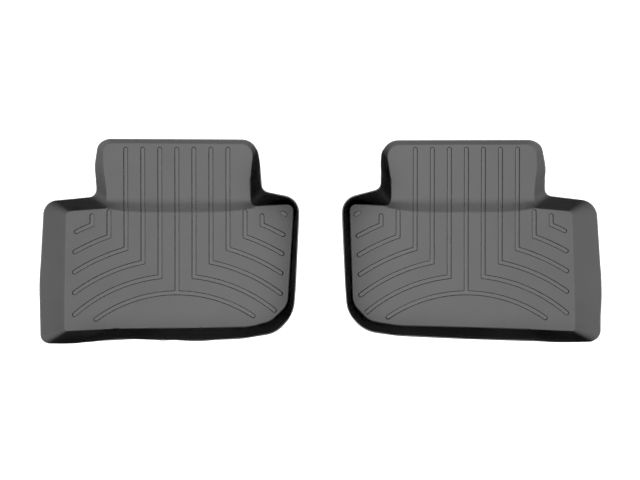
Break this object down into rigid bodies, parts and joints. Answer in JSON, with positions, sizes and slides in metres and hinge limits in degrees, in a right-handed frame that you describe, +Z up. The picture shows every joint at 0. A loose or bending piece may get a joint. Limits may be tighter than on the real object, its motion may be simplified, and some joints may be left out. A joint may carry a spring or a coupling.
{
  "type": "floor mat set",
  "caption": "Rear-row floor liner set: left and right trays with raised walls, a raised front tongue and channel ribs.",
  "frame": {"origin": "centre of the set's footprint, on the surface that the liners lie on", "axes": "+X to the vehicle's right along the set, +Y to the vehicle's front, +Z up"},
  "size_m": [1.3896, 0.5093, 0.0802],
  "materials": {
    "top_skin": "satin black, fine moulded grain",
    "core": "black, cut edge",
    "grip_backing": "dull black, slightly tacky"
  },
  "bodies": {
    "left_liner": {"left_top_skin": "top_skin", "left_core": "core", "left_grip_backing": "grip_backing"},
    "right_liner": {"right_top_skin": "top_skin", "right_core": "core", "right_grip_backing": "grip_backing"}
  },
  "joints": [
    {"name": "right_liner_lift", "type": "slide", "parent": "left_liner", "child": "right_liner", "axis": [0, 0, 1], "range_m": [0, 0.25]}
  ]
}
